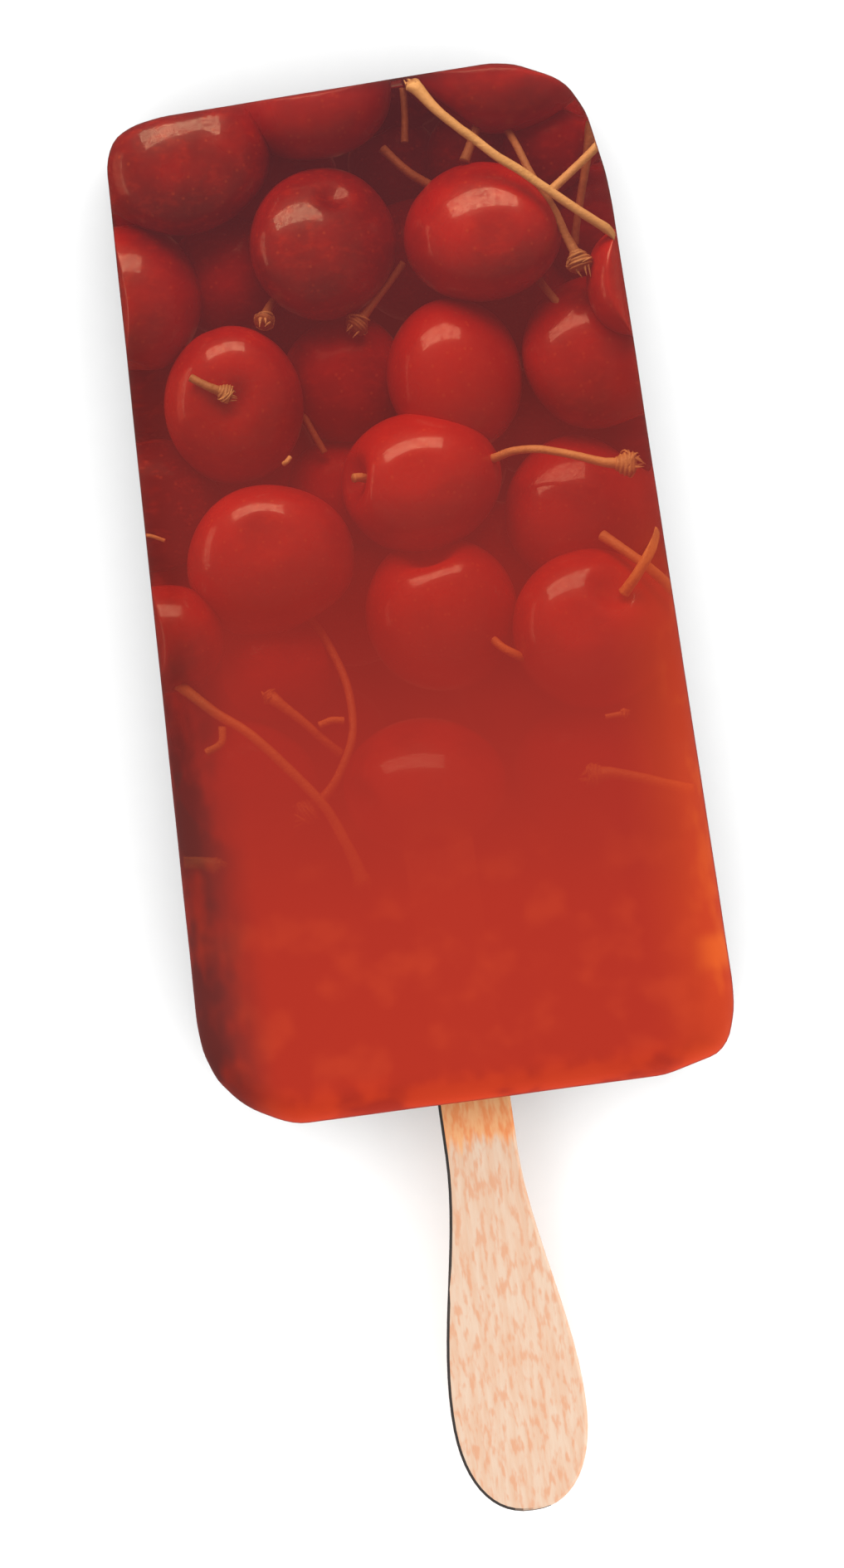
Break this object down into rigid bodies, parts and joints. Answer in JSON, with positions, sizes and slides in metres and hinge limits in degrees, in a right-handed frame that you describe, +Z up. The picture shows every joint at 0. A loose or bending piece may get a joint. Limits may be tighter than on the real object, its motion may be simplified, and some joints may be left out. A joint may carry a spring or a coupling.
{
  "type": "ice pop",
  "caption": "Fruit ice pop: a flat block of clear red ice with whole cherries frozen in it, on a wooden paddle stick, lying on its back.",
  "frame": {"origin": "on the surface that the pop lies on, below the middle of its whole length and width", "axes": "+X across the pop, +Y from the stick's free end to the ice's tip, +Z up through the front face"},
  "size_m": [0.0646, 0.1738, 0.0279],
  "materials": {
    "ice": "gloss",
    "wood": "matte",
    "cherry": "gloss",
    "stem": "matte"
  },
  "bodies": {
    "root": {"ice_block": "ice", "stick": "wood"}
  },
  "joints": []
}
